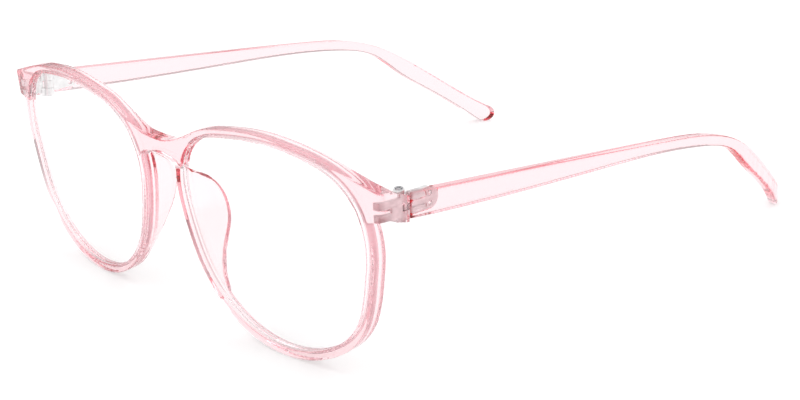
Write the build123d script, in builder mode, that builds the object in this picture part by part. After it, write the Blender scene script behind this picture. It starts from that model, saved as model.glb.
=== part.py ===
"""A pair of round see-through glasses with folding temples, standing open on the rims and the temple tips.

+X is the wearer's left, +Y runs back along the temples, +Z is up, and all lengths are in millimetres.
The origin lies on the surface that the glasses stand on, in the middle of their width and depth.
"""

import os
from math import cos, radians, sin

from build123d import *

# ---------------------------------------------------------------- overall sizes
frame_width = 132.4  # over the outer faces of the two end pieces
overall_depth = 157.0  # from the front of the bridge to the temple tips

# ---------------------------------------------------------------- front
lens_width = 53.0  # boxed width of one lens opening
lens_height = 45.8  # boxed height of one lens opening
lens_gap = 15.7  # between the two lens openings, across the bridge
rim_width = 2.0  # seen from the front
rim_shift = 0.25  # the rim is this much wider at the temple side, and narrower at the nose
rim_depth = 3.4  # from the front face to the back face
wrap_radius = 384.0  # the front is bent round this radius
front_tilt = 5.3  # degrees that the bottom of the front leans towards the face

bridge_top = 17.0  # these heights are above the middle of the lens openings
bridge_bottom = 13.5

endpiece_top = 18.1
endpiece_height = 5.8
endpiece_rounding = 1.5  # of its front corner
brow_slope = 0.3  # how steeply the brow line comes down to the end piece

# ---------------------------------------------------------------- lenses
lens_thickness = 2.0
lens_tongue = 0.7  # how far the lens edge reaches into the groove of the rim
tongue_thickness = 1.0
groove_clearance = 0.03

# ---------------------------------------------------------------- nose pads, moulded onto the rims
pad_splay = 0.3  # outward lean for each millimetre back
pad_reach = 7.0  # behind the rim
pad_height = 25.0
pad_middle = -1.3  # from the middle of the lens opening
pad_thickness = 1.9

# ---------------------------------------------------------------- joint between front and temple
joint_behind_apex = 13.7  # the pin's axis, behind the front of the bridge
joint_gap = 0.12  # half the gap between the end piece and the temple
lug_thickness = 3.1
temple_root_top = 41.7  # height of the temple's top edge at the joint
temple_root_height = 5.3

# ---------------------------------------------------------------- temples
temple_thickness = 2.9
temple_height_front = 4.9
temple_height_mid = 3.7
temple_height_neck = 2.8  # where the ear bend begins
temple_height_tail = 4.3
temple_height_tip = 5.0
temple_lean = 0.8  # the straight part comes in this much by the ear bend
tail_length = 61.0  # from the ear bend to the tip, along the depth
tail_drop = 29.5  # and the tail comes down this much
tail_inset = 11.2  # and in this much

# ---------------------------------------------------------------- hinges
barrel_radius = 1.15
barrel_height = 5.8  # all three knuckles together
knuckle_gap = 0.06
pin_radius = 0.55
pin_clearance = 0.04  # round the pin in the temple's knuckle
pin_inboard = 0.4  # the pin's axis, inside the inner face of the end piece
barrel_clearance = 0.15  # between the barrel and the plastic round it
leaf_thickness = 1.1
leaf_height = 4.2
front_leaf_length = 6.4
temple_leaf_length = 8.2
prong_length = 2.4
prong_gap = 1.0
hole_radius = 0.55  # of the two holes by the rounded end, which the plastic fills
hole_spread = 1.05  # from the middle of the plate
rib_length = 3.4
rib_width = 0.8
rib_height = 0.35
rib_spread = 1.2
screw_head_radius = 0.85
screw_head_height = 0.5
slot_width = 0.22
slot_depth = 0.25

# ---------------------------------------------------------------- places worked out from the sizes
half_width = frame_width / 2
apex_y = -overall_depth / 2
rim_height = lens_height / 2 + rim_width
tilt = radians(front_tilt)
up = Vector(0, -sin(tilt), cos(tilt))
forward = Vector(0, -cos(tilt), -sin(tilt))
lens_x = (lens_gap + lens_width) / 2
lens_sag = lens_x**2 / (2 * wrap_radius)
datum_z = rim_height * cos(tilt) - lens_sag * sin(tilt)
datum_y = apex_y + bridge_top * sin(tilt)
front_plane = Plane(origin=(0, datum_y, datum_z), x_dir=(1, 0, 0), z_dir=forward)
top_plane = Plane(origin=(0, datum_y, datum_z), x_dir=(1, 0, 0), z_dir=up)
front_side_plane = Plane(origin=(0, datum_y, datum_z), x_dir=-forward, z_dir=(1, 0, 0))
side_plane = Plane(origin=(0, apex_y, 0), x_dir=(0, 1, 0), z_dir=(1, 0, 0))
joint_y = apex_y + joint_behind_apex
lug_inner_x = half_width - lug_thickness
pin_x = lug_inner_x - pin_inboard
root_middle_z = temple_root_top - temple_root_height / 2
barrel_bottom_z = root_middle_z - barrel_height / 2
barrel_relief = barrel_radius + barrel_clearance
knuckle_height = barrel_height / 3
pin_plane = Plane(origin=(pin_x, joint_y, barrel_bottom_z))
leaf_plane = Plane(origin=(lug_inner_x, joint_y, root_middle_z), x_dir=(0, 1, 0), z_dir=(1, 0, 0))
far = 40.0  # long enough to cut or extrude right through the front
outline_steps = 36  # points on a grown outline

# Where other lines meet the rim's outline, in shares of the way round it from the temple side over the top.
temple_share = 0.165
brow_share = 0.37
nose_share = 0.46
under_share = 0.065

# The opening's outline, in shares of half its width and half its height, from the temple side over the top.
opening_shape = [
    (0.985, 0.04),
    (1.0, 0.35),
    (0.92, 0.65),
    (0.72, 0.86),
    (0.42, 0.955),
    (0.0, 1.0),
    (-0.42, 0.955),
    (-0.70, 0.875),
    (-0.92, 0.67),
    (-1.0, 0.36),
    (-0.965, 0.04),
    (-0.82, -0.44),
    (-0.49, -0.835),
    (0.01, -1.0),
    (0.48, -0.885),
    (0.83, -0.55),
]

# The temple's tail: shares of its length, its drop and its inset, the lean in degrees and the height.
tail_shape = [
    (0.20, 0.06, 0.02, 15.0, temple_height_neck),
    (0.40, 0.19, 0.09, 29.0, temple_height_neck),
    (0.54, 0.38, 0.22, 37.0, temple_height_tail),
    (0.72, 0.64, 0.49, 37.0, temple_height_tail),
]

# A nose pad's outline from the side: how far back and how high, in shares of its reach and height.
pad_shape = [
    (0.0, 0.52),
    (0.45, 0.42),
    (0.85, 0.28),
    (1.0, 0.1),
    (0.93, -0.04),
    (0.73, -0.16),
    (0.49, -0.28),
    (0.26, -0.42),
    (0.11, -0.54),
    (0.0, -0.66),
]


def opening_outline(grow=0.0, shift=0.0):
    """The left lens opening, in the front plane's own coordinates, grown and shifted to the temple side."""
    half_size = (lens_width / 2, lens_height / 2)
    corners = [(lens_x + u * half_size[0], v * half_size[1]) for u, v in opening_shape]
    with BuildSketch(mode=Mode.PRIVATE) as outline:
        with BuildLine():
            edge = Spline(corners, periodic=True, mode=Mode.PRIVATE)
            steps = [i / outline_steps for i in range(outline_steps)]
            move = Vector(shift, 0, 0)
            Spline([edge @ t + move + grow * (edge % t).rotate(Axis.Z, -90) for t in steps], periodic=True)
        make_face()
    return outline.sketch


def wrapped_slab(front_depth, back_depth):
    """The curved sheet between two depths behind the front face."""
    reach = half_width + 5.0

    def arc_at(depth):
        radius = wrap_radius - depth
        sag = depth + radius - (radius**2 - reach**2) ** 0.5
        return ThreePointArc((-reach, sag), (0, depth), (reach, sag))

    with BuildPart(mode=Mode.PRIVATE) as slab:
        with BuildSketch(top_plane):
            with BuildLine():
                front_arc = arc_at(front_depth)
                back_arc = arc_at(back_depth)
                Line(front_arc @ 0, back_arc @ 0)
                Line(front_arc @ 1, back_arc @ 1)
            make_face()
        extrude(amount=far, both=True)
    return slab.part


def plate_through(outline, front_depth, back_depth):
    """A plate with the given outline, bent like the front, between two depths."""
    with BuildPart(mode=Mode.PRIVATE) as plate:
        with BuildSketch(front_plane):
            add(outline)
        extrude(amount=far, both=True)
        add(wrapped_slab(front_depth, back_depth), mode=Mode.INTERSECT)
    return plate.part


def knuckle(level, height, side):
    """One knuckle on the pin's axis, and its web to the leaf at the front (-1) or the back (1)."""
    align_y = Align.MIN if side > 0 else Align.MAX
    with BuildPart(mode=Mode.PRIVATE) as piece:
        with BuildSketch(pin_plane.offset(level)):
            Circle(barrel_radius)
            Rectangle(pin_inboard + leaf_thickness, barrel_relief + 0.6, align=(Align.MIN, align_y))
        extrude(amount=height)
    return piece.part


# ---------------------------------------------------------------- hinge leaves and screw, left side
with BuildPart() as left_front_hinge:
    # The plate is set in the end piece, with two prongs that anchor it.
    with BuildSketch(leaf_plane):
        with Locations((-barrel_relief, 0)):
            Rectangle(front_leaf_length - barrel_relief, leaf_height, align=(Align.MAX, Align.CENTER))
        with Locations((-front_leaf_length, 0)):
            Rectangle(prong_length, prong_gap, align=(Align.MIN, Align.CENTER), mode=Mode.SUBTRACT)
    extrude(amount=leaf_thickness)
    add(knuckle(0, knuckle_height, -1))
    add(knuckle(2 * knuckle_height, knuckle_height, -1))
    with BuildSketch(pin_plane):
        Circle(pin_radius)
    extrude(amount=barrel_height, mode=Mode.SUBTRACT)
    with BuildSketch(pin_plane.offset(barrel_height - screw_head_height / 2)):
        Circle(screw_head_radius)
    extrude(amount=screw_head_height, mode=Mode.SUBTRACT)

with BuildPart() as left_temple_hinge:
    # The plate is set in the temple and has a rounded end.
    with BuildSketch(leaf_plane):
        with Locations((barrel_relief, 0)):
            Rectangle(
                temple_leaf_length - barrel_relief - leaf_height / 2,
                leaf_height,
                align=(Align.MIN, Align.CENTER),
            )
        with Locations((temple_leaf_length - leaf_height / 2, 0)):
            Circle(leaf_height / 2)
        with GridLocations(0, 2 * hole_spread, 1, 2):
            with Locations((temple_leaf_length - leaf_height / 2, 0)):
                Circle(hole_radius, mode=Mode.SUBTRACT)
    extrude(amount=leaf_thickness)
    # Two ribs on the side that lies in the plastic.
    with BuildSketch(leaf_plane.offset(leaf_thickness)):
        with Locations((barrel_relief, rib_spread), (barrel_relief, -rib_spread)):
            Rectangle(rib_length, rib_width, align=(Align.MIN, Align.CENTER))
    extrude(amount=rib_height)
    add(knuckle(knuckle_height + knuckle_gap, knuckle_height - 2 * knuckle_gap, 1))
    with BuildSketch(pin_plane):
        Circle(pin_radius + pin_clearance)
    extrude(amount=barrel_height, mode=Mode.SUBTRACT)

with BuildPart() as left_hinge_screw:
    with BuildSketch(pin_plane):
        Circle(pin_radius)
    extrude(amount=barrel_height - screw_head_height / 2)
    with BuildSketch(pin_plane.offset(barrel_height - screw_head_height / 2)):
        Circle(screw_head_radius)
    extrude(amount=screw_head_height)
    with BuildSketch(pin_plane.offset(barrel_height + screw_head_height / 2 - slot_depth)):
        Rectangle(2 * screw_head_radius, slot_width)
        Rectangle(slot_width, 2 * screw_head_radius)
    extrude(amount=slot_depth, mode=Mode.SUBTRACT)

# ---------------------------------------------------------------- lenses
rim_middle = rim_depth / 2
with BuildPart() as left_lens:
    add(
        plate_through(
            opening_outline(-groove_clearance),
            rim_middle - lens_thickness / 2,
            rim_middle + lens_thickness / 2,
        )
    )
    add(
        plate_through(
            opening_outline(lens_tongue),
            rim_middle - tongue_thickness / 2,
            rim_middle + tongue_thickness / 2,
        )
    )

# ---------------------------------------------------------------- front
lug_start = half_width**2 / (2 * wrap_radius) + rim_depth * 0.75
endpiece_bottom = endpiece_top - endpiece_height
half_groove = tongue_thickness / 2 + groove_clearance

rim_outline = opening_outline(rim_width, rim_shift)
rim_edge = rim_outline.edges()[0]

with BuildSketch() as half_front:
    add(rim_outline)
    # Half of the bridge, from the middle to the rim, which its two edges run into smoothly.
    with BuildLine():
        top_tangents = ((1, 0), -(rim_edge % brow_share))
        top_edge = Spline((0, bridge_top), rim_edge @ brow_share, tangents=top_tangents)
        arch = Spline((0, bridge_bottom), rim_edge @ nose_share, tangents=((1, 0), rim_edge % nose_share))
        Polyline(top_edge @ 1, (lens_x, 0), arch @ 1)
        Line(top_edge @ 0, arch @ 0)
    make_face()
    # The end piece, which the brow line runs into.
    with BuildLine():
        brow_line = Spline(
            rim_edge @ temple_share,
            (half_width, endpiece_top),
            tangents=(-(rim_edge % temple_share), (1, -brow_slope)),
        )
        Polyline(
            brow_line @ 1,
            (half_width, endpiece_bottom),
            rim_edge @ under_share,
            (lens_x, 0),
            brow_line @ 0,
        )
    make_face()

with BuildPart() as left_half:
    add(plate_through(half_front.sketch, 0, rim_depth))
    corner = left_half.edges().filter_by(lambda e: (e @ 0.5).X > half_width - 0.01).sort_by(Axis.Y)[0]
    fillet(corner, endpiece_rounding)
    # The lug that turns back from the end piece to the joint.
    with BuildSketch(side_plane.offset(lug_inner_x)):
        lug_front_top = datum_z + endpiece_top * cos(tilt) + lug_start * sin(tilt)
        joint_face = joint_behind_apex - joint_gap
        Polygon(
            (lug_start, lug_front_top),
            (joint_face, temple_root_top),
            (joint_face, temple_root_top - temple_root_height),
            (lug_start, lug_front_top - endpiece_height),
            align=None,
        )
    extrude(amount=lug_thickness)
    # The nose pad: a flange off the rim's nose side, cut to its outline.
    with BuildPart(mode=Mode.PRIVATE) as pad:
        with BuildSketch(front_plane.offset(-rim_depth * 0.75)):
            add(opening_outline(rim_width, rim_shift))
            add(opening_outline(rim_width - pad_thickness, rim_shift), mode=Mode.SUBTRACT)
            Rectangle(lens_x - 6.0, 2 * lens_height, align=(Align.MIN, Align.CENTER), mode=Mode.INTERSECT)
        extrude(amount=rim_depth + pad_reach, dir=-forward + Vector(pad_splay, 0, 0))
        with BuildSketch(front_side_plane):
            with BuildLine():
                back_edge = Spline(
                    [(rim_depth + a * pad_reach, pad_middle + b * pad_height) for a, b in pad_shape]
                )
                pad_top = (rim_depth / 2, (back_edge @ 0).Y)
                pad_foot = (rim_depth / 2, (back_edge @ 1).Y)
                Polyline(back_edge @ 0, pad_top, pad_foot, back_edge @ 1)
            make_face()
        extrude(amount=lens_x, mode=Mode.INTERSECT)
    add(pad.part)
    # The lens opening, with the groove that holds the lens.
    add(plate_through(opening_outline(), -1.0, rim_depth + 0.2), mode=Mode.SUBTRACT)
    add(
        plate_through(
            opening_outline(lens_tongue + groove_clearance),
            rim_middle - half_groove,
            rim_middle + half_groove,
        ),
        mode=Mode.SUBTRACT,
    )
    # The seat of the hinge.
    with BuildSketch(pin_plane.offset(-knuckle_height)):
        Circle(barrel_relief)
    extrude(amount=barrel_height + 2 * knuckle_height, mode=Mode.SUBTRACT)
    add(left_front_hinge.part, mode=Mode.SUBTRACT)

with BuildPart() as front_frame:
    add(left_half.part)
    mirror(about=Plane.YZ)

# ---------------------------------------------------------------- left temple
tip_radius = temple_height_tip / 2
tip_lean = 38.0
bend_y = overall_depth - tail_length
bend_z = tip_radius + tail_drop
tip_y = overall_depth - tip_radius
straight = bend_y - joint_behind_apex
fall = root_middle_z - bend_z
# How far back, the middle's height, the lean in degrees, the height and how far in, along the temple.
stations = [
    (joint_behind_apex + joint_gap, root_middle_z, 5.0, temple_root_height, 0.0),
    (bend_y - 0.68 * straight, bend_z + 0.66 * fall, 4.7, temple_height_front, 0.3 * temple_lean),
    (bend_y - 0.32 * straight, bend_z + 0.33 * fall, 4.7, temple_height_mid, 0.6 * temple_lean),
    (bend_y, bend_z, 7.0, temple_height_neck, temple_lean),
]
for back, down, inward, lean, height in tail_shape:
    tail_y = bend_y + back * tail_length
    tail_z = bend_z - down * tail_drop
    stations.append((tail_y, tail_z, lean, height, temple_lean + inward * tail_inset))
stations.append((tip_y, tip_radius, tip_lean, temple_height_tip, temple_lean + tail_inset))


def edge_points(side):
    """The temple's top edge for side 1 or its bottom edge for side -1."""
    return [
        (y + side * h / 2 * sin(radians(lean)), z + side * h / 2 * cos(radians(lean)))
        for y, z, lean, h, inset in stations
    ]


with BuildPart() as left_temple:
    with BuildSketch(side_plane.offset(half_width - 3 * tail_inset)):
        with BuildLine():
            upper = Spline(edge_points(1))
            lower = Spline(edge_points(-1))
            Line(upper @ 0, lower @ 0)
            lean = radians(tip_lean)
            tip = (tip_y + tip_radius * cos(lean), tip_radius - tip_radius * sin(lean))
            ThreePointArc(upper @ 1, tip, lower @ 1)
        make_face()
    extrude(amount=4 * tail_inset)
    with BuildSketch(Plane.XY):
        with BuildLine():
            outer = [(half_width - inset, apex_y + y) for y, z, lean, h, inset in stations]
            outer.append((half_width - temple_lean - 1.35 * tail_inset, apex_y + overall_depth + 3.0))
            outer_edge = Spline(outer)
            inner_edge = Spline([(x - temple_thickness, y) for x, y in outer])
            Line(outer_edge @ 0, inner_edge @ 0)
            Line(outer_edge @ 1, inner_edge @ 1)
        make_face()
    extrude(amount=2 * lens_height, mode=Mode.INTERSECT)
    with BuildSketch(pin_plane.offset(-knuckle_height)):
        Circle(barrel_relief)
    extrude(amount=barrel_height + 2 * knuckle_height, mode=Mode.SUBTRACT)
    add(left_temple_hinge.part, mode=Mode.SUBTRACT)

# ---------------------------------------------------------------- labels and files
left_pieces = {
    "lens": left_lens.part,
    "front_hinge": left_front_hinge.part,
    "temple_hinge": left_temple_hinge.part,
    "hinge_screw": left_hinge_screw.part,
    "temple": left_temple.part,
}

os.makedirs("parts", exist_ok=True)
front_frame.part.label = "front_frame"
export_step(front_frame.part, "parts/front_frame.step")
for name, piece in left_pieces.items():
    piece.label = f"left_{name}"
    export_step(piece, f"parts/left_{name}.step")
    with BuildPart() as other_side:
        mirror(piece, about=Plane.YZ)
    other_side.part.label = f"right_{name}"
    export_step(other_side.part, f"parts/right_{name}.step")
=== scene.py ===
"""Looks for a pair of round see-through pink glasses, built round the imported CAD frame."""

from math import cos, radians, sin

import bpy
import numpy as np
from mathutils import Matrix, Vector


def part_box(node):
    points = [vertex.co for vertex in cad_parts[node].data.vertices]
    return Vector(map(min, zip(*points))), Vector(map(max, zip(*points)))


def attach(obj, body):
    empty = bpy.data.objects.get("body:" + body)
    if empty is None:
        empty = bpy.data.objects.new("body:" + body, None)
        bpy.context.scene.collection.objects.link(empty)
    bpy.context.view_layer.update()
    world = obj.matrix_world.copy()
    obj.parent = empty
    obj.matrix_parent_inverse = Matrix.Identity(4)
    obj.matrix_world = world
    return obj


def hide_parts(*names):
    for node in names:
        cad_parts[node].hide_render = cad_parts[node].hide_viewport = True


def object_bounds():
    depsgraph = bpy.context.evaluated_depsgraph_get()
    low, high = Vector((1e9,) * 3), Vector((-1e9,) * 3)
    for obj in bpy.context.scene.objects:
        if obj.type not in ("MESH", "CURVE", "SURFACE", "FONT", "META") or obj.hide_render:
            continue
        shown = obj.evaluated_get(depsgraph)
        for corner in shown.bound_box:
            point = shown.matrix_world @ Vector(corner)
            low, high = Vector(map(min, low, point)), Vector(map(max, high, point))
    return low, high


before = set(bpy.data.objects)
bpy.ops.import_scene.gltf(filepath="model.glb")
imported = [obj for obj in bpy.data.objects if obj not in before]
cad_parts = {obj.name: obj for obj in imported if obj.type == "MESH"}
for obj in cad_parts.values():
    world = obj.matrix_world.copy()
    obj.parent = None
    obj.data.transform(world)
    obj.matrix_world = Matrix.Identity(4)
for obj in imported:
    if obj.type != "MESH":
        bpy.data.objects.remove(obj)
cad_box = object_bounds()
scene = bpy.context.scene
MM = 0.001
FRONT_TILT = 5.3  # degrees that the top of the front leans forward
WRAP_RADIUS = 384.0 * MM  # of the front's curve round the face
RIM_DEPTH = 3.4 * MM
BROW_START = 1.3 * MM  # behind the front of the bridge, where the brow's roll begins
BROW_ROLL = 0.6 * MM  # how far the brow's back edge comes down
RING_WIDTH = 1.4  # the rims and end pieces end by here, in halves of a lens from its middle
GRID_TURN = Matrix.Rotation(radians(40.0), 4, Vector((1.0, 0.7, 0.4)))
TINT_DENSITY = 76.0  # how strongly the plastic colours light, per metre
LENS_IOR = 1.3
FLOOR_REACH = 30.0
FLOOR_GAP = 0.02 * MM
CAMERA_PLACE = Vector((289.18, -272.19, 149.89)) * MM
CAMERA_TARGET = Vector((17.96, -23.5, 17.69)) * MM
CAMERA_ROLL = -1.171
CAMERA_LENS = 75.49
CAMERA_NEAR = 0.01
LIGHT_BOUNCES = 48
GLOSSY_BOUNCES = 32


# ---------------------------------------------------------------- materials
def new_material(name):
    """A new node material, with its nodes, its links and its Principled shader."""
    material = bpy.data.materials.new(name)
    material.use_nodes = True
    nodes = material.node_tree.nodes
    return material, nodes, material.node_tree.links, nodes["Principled BSDF"]


def set_inputs(shader, **values):
    """Sets plain numbers and colours on a shader's sockets; _ stands for a space in a name."""
    for key, value in values.items():
        shader.inputs[key.replace("_", " ")].default_value = value


def noise(nodes, links, scale, detail=2.0, stretch=(1.0, 1.0, 1.0)):
    """A noise texture that follows the piece's own space."""
    place = nodes.new("ShaderNodeTexCoord")
    mapping = nodes.new("ShaderNodeMapping")
    mapping.inputs["Scale"].default_value = stretch
    texture = nodes.new("ShaderNodeTexNoise")
    texture.inputs["Scale"].default_value = scale
    texture.inputs["Detail"].default_value = detail
    links.new(place.outputs["Object"], mapping.inputs["Vector"])
    links.new(mapping.outputs["Vector"], texture.inputs["Vector"])
    return texture


def spread(nodes, links, source, low, high):
    """Turns the middle of a noise value's range into low to high."""
    node = nodes.new("ShaderNodeMapRange")
    node.inputs["From Min"].default_value = 0.3
    node.inputs["From Max"].default_value = 0.7
    node.inputs["To Min"].default_value = low
    node.inputs["To Max"].default_value = high
    links.new(source, node.inputs["Value"])
    return node.outputs["Result"]


def vary_roughness(nodes, links, shader, texture, low, high):
    """Lets a surface's roughness follow a noise texture."""
    links.new(spread(nodes, links, texture.outputs["Fac"], low, high), shader.inputs["Roughness"])


def mix_colours(nodes, links, shader, texture, dark, light):
    """Lets a surface's colour go from dark to light with a noise texture."""
    mix = nodes.new("ShaderNodeMix")
    mix.data_type = "RGBA"
    mix.inputs["A"].default_value = (*dark, 1.0)
    mix.inputs["B"].default_value = (*light, 1.0)
    links.new(spread(nodes, links, texture.outputs["Fac"], 0.0, 1.0), mix.inputs["Factor"])
    links.new(mix.outputs["Result"], shader.inputs["Base Color"])


def add_bump(nodes, links, shader, texture, strength, distance):
    """Fine relief from a noise texture."""
    node = nodes.new("ShaderNodeBump")
    node.inputs["Strength"].default_value = strength
    node.inputs["Distance"].default_value = distance
    links.new(texture.outputs["Fac"], node.inputs["Height"])
    links.new(node.outputs["Normal"], shader.inputs["Normal"])


def pink_plastic():
    """Polished see-through plastic, pale through a wall and deep pink along an edge."""
    material, nodes, links, shader = new_material("clear_pink_plastic")
    set_inputs(
        shader,
        Base_Color=(1.0, 0.985, 0.987, 1.0),
        Transmission_Weight=1.0,
        IOR=1.49,
    )
    # Polish that varies a little, and the faint ripple of moulded plastic.
    vary_roughness(nodes, links, shader, noise(nodes, links, 900.0), 0.02, 0.05)
    add_bump(nodes, links, shader, noise(nodes, links, 90.0), 0.03, 0.2 * MM)
    absorb = nodes.new("ShaderNodeVolumeAbsorption")
    absorb.inputs["Color"].default_value = (0.95, 0.10, 0.22, 1.0)
    absorb.inputs["Density"].default_value = TINT_DENSITY
    links.new(absorb.outputs["Volume"], nodes["Material Output"].inputs["Volume"])
    return material


def lens_plastic():
    """Clear lens plastic with a thin coating."""
    material, nodes, links, shader = new_material("coated_lens")
    set_inputs(
        shader,
        Base_Color=(0.995, 0.998, 1.0, 1.0),
        Transmission_Weight=1.0,
        IOR=LENS_IOR,
        Specular_Tint=(0.82, 0.86, 1.0, 1.0),
    )
    vary_roughness(nodes, links, shader, noise(nodes, links, 500.0), 0.0, 0.01)
    return material


def frosted_edge_painted_pink():
    """The frosted edge of a lens, painted with the pink tint that light takes in the plastic
    round it.
    """
    material, nodes, links, shader = new_material("lens_edge_painted_pink")
    mottle = noise(nodes, links, 1400.0, 4.0)
    # The two pinks are painted light, the tint of light through the rim's plastic; the mottle
    # between them is the frosting's own.
    mix_colours(nodes, links, shader, mottle, (1.0, 0.62, 0.68), (1.0, 0.80, 0.83))
    set_inputs(shader, Roughness=0.4, Transmission_Weight=0.95, IOR=LENS_IOR)
    add_bump(nodes, links, shader, mottle, 0.3, 0.02 * MM)
    return material


def hinge_metal(name, colour, roughness, stretch):
    """Plated metal with fine drawn lines and a few duller patches."""
    material, nodes, links, shader = new_material(name)
    set_inputs(shader, Metallic=1.0)
    lines = noise(nodes, links, 2600.0, 3.0, stretch)
    patches = noise(nodes, links, 700.0)
    mix_colours(nodes, links, shader, patches, [0.85 * c for c in colour], colour)
    vary_roughness(nodes, links, shader, lines, roughness - 0.08, roughness + 0.1)
    add_bump(nodes, links, shader, lines, 0.25, 0.03 * MM)
    return material


plastic = pink_plastic()
lens = lens_plastic()
edge = frosted_edge_painted_pink()
plate = hinge_metal("plated_hinge", (0.93, 0.93, 0.93), 0.38, (1.0, 0.1, 1.0))
screw = hinge_metal("hinge_screw", (0.6, 0.6, 0.62), 0.28, (1.0, 1.0, 0.1))


def paint(name, material):
    """Gives a CAD node its finished material."""
    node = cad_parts[name]
    node.data.materials.clear()
    node.data.materials.append(material)
    return node


def glaze(name):
    """Gives a lens its clear faces, and its frosted edge where it lies in the rim's groove."""
    node = paint(name, lens)
    node.data.materials.append(edge)
    front = Vector((0.0, -cos(radians(FRONT_TILT)), -sin(radians(FRONT_TILT))))
    for face in node.data.polygons:
        face.material_index = int(abs(face.normal @ front) < 0.5)


def ease_brow(points):
    """Rolls the rims' outer top edge over towards the back, as a mould leaves it."""
    lens_low, lens_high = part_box("left_lens")
    middle = (lens_low + lens_high) / 2
    half = (lens_high - lens_low) / 2
    across = (np.abs(points[:, 0]) - middle[0]) / half[0]
    above = (points[:, 2] - middle[2]) / half[2]
    out = np.hypot(across, above)
    wrap = points[:, 0] ** 2 / (2 * WRAP_RADIUS)
    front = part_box("front_frame")[0][1] + wrap + BROW_START
    depth = np.clip((points[:, 1] - front) / RIM_DEPTH, 0, 1)
    past_lens = np.clip((out - 1.0) / 0.05, 0, 1)
    on_ring = np.clip((RING_WIDTH - out) / 0.1, 0, 1)
    upper_half = np.clip(above * 2, 0, 1)
    points[:, 2] -= BROW_ROLL * depth**1.5 * past_lens * on_ring * upper_half


# ---------------------------------------------------------------- plastic with softened edges
def moulded(name, body, voxel, rounds, keep, shape=None):
    """A smooth copy of a CAD node's mesh with rounded edges, kept inside the node's own box.

    The mesh is rebuilt on a grid of voxels, smoothed for some rounds and thinned to a share to
    keep. shape is a function that may move its points before that box is applied.
    """
    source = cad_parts[name]
    piece = bpy.data.objects.new(f"{name}_moulded", source.data.copy())
    scene.collection.objects.link(piece)
    # The voxel grid stands askew to the object, so that no long edge runs along it.
    piece.data.transform(GRID_TURN)
    remesh = piece.modifiers.new("remesh", "REMESH")
    remesh.mode = "VOXEL"
    remesh.voxel_size = voxel
    smooth = piece.modifiers.new("smooth", "SMOOTH")
    smooth.factor = 0.5
    smooth.iterations = rounds
    thin = piece.modifiers.new("thin", "DECIMATE")
    thin.ratio = keep
    graph = bpy.context.evaluated_depsgraph_get()
    mesh = bpy.data.meshes.new_from_object(piece.evaluated_get(graph))
    piece.modifiers.clear()
    piece.data = mesh
    mesh.transform(GRID_TURN.inverted())
    low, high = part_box(name)
    points = np.empty(len(mesh.vertices) * 3, np.float32)
    mesh.vertices.foreach_get("co", points)
    points = points.reshape(-1, 3)
    if shape:
        shape(points)
    points = np.clip(points, low, high)
    mesh.vertices.foreach_set("co", points.ravel())
    mesh.shade_smooth()
    mesh.materials.clear()
    mesh.materials.append(plastic)
    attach(piece, body)
    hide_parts(name)


moulded("front_frame", "front", voxel=0.18 * MM, rounds=24, keep=0.4, shape=ease_brow)
for side in ("left", "right"):
    moulded(f"{side}_temple", f"{side}_temple", voxel=0.16 * MM, rounds=70, keep=0.6)
    glaze(f"{side}_lens")
    paint(f"{side}_front_hinge", plate)
    paint(f"{side}_temple_hinge", plate)
    paint(f"{side}_hinge_screw", screw)

# ---------------------------------------------------------------- floor, light and camera
def flat_floor():
    """A plain white floor, well past the camera's view."""
    material, nodes, links, shader = new_material("floor_white")
    set_inputs(
        shader,
        Base_Color=(0.68, 0.665, 0.665, 1.0),
        Roughness=0.6,
        Specular_IOR_Level=0.1,
        Emission_Color=(1.0, 1.0, 1.0, 1.0),
        Emission_Strength=0.40,
    )
    z = cad_box[0][2] - FLOOR_GAP
    turns = [(-1, -1), (1, -1), (1, 1), (-1, 1)]
    corners = [(x * FLOOR_REACH, y * FLOOR_REACH, z) for x, y in turns]
    mesh = bpy.data.meshes.new("floor")
    mesh.from_pydata(corners, [], [(0, 1, 2, 3)])
    mesh.materials.append(material)
    floor = bpy.data.objects.new("floor", mesh)
    scene.collection.objects.link(floor)


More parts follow.
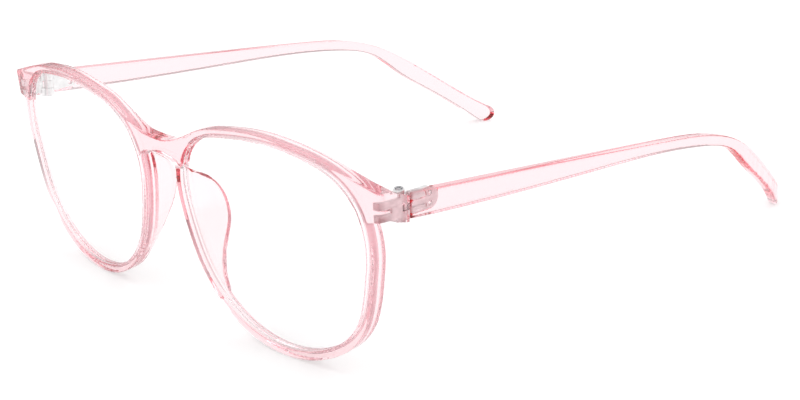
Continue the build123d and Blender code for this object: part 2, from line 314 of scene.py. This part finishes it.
def softbox(name, place, target, size, watts):
    """A large square light that faces the target."""
    data = bpy.data.lights.new(name, "AREA")
    data.size = size
    data.energy = watts
    light = bpy.data.objects.new(name, data)
    light.location = place
    light.rotation_euler = (Vector(target) - Vector(place)).to_track_quat("-Z", "Y").to_euler()
    scene.collection.objects.link(light)


def studio():
    """White light from above that falls off towards the horizon."""
    world = bpy.data.worlds.new("studio")
    scene.world = world
    world.use_nodes = True
    nodes = world.node_tree.nodes
    links = world.node_tree.links
    direction = nodes.new("ShaderNodeTexCoord")
    axes = nodes.new("ShaderNodeSeparateXYZ")
    links.new(direction.outputs["Generated"], axes.inputs["Vector"])
    fall = nodes.new("ShaderNodeMapRange")
    fall.inputs["From Min"].default_value = 0.0
    fall.inputs["From Max"].default_value = 0.45
    fall.inputs["To Min"].default_value = 0.35
    fall.inputs["To Max"].default_value = 1.08
    links.new(axes.outputs["Z"], fall.inputs["Value"])
    background = nodes["Background"]
    background.inputs["Color"].default_value = (1.0, 1.0, 1.0, 1.0)
    links.new(fall.outputs["Result"], background.inputs["Strength"])


flat_floor()
middle = (0.0, 0.0, 20 * MM)
softbox("key", place=(-0.5, -0.45, 0.9), target=middle, size=0.5, watts=1.2)
softbox("back", place=(0.3, 0.9, 0.8), target=middle, size=0.7, watts=0.8)
studio()

camera_data = bpy.data.cameras.new("camera")
camera_data.sensor_width = 36.0
camera_data.lens = CAMERA_LENS
camera_data.clip_start = CAMERA_NEAR
camera = bpy.data.objects.new("camera", camera_data)
aim = (CAMERA_TARGET - CAMERA_PLACE).to_track_quat("-Z", "Y").to_matrix().to_4x4()
roll = Matrix.Rotation(radians(CAMERA_ROLL), 4, "Z")
camera.matrix_world = Matrix.Translation(CAMERA_PLACE) @ aim @ roll
scene.collection.objects.link(camera)
scene.camera = camera

# Light crosses the clear plastic's walls many times before it comes out of an edge.
scene.cycles.max_bounces = LIGHT_BOUNCES
scene.cycles.transmission_bounces = LIGHT_BOUNCES
scene.cycles.glossy_bounces = GLOSSY_BOUNCES

scene.view_settings.view_transform = "Standard"
scene.view_settings.look = "None"
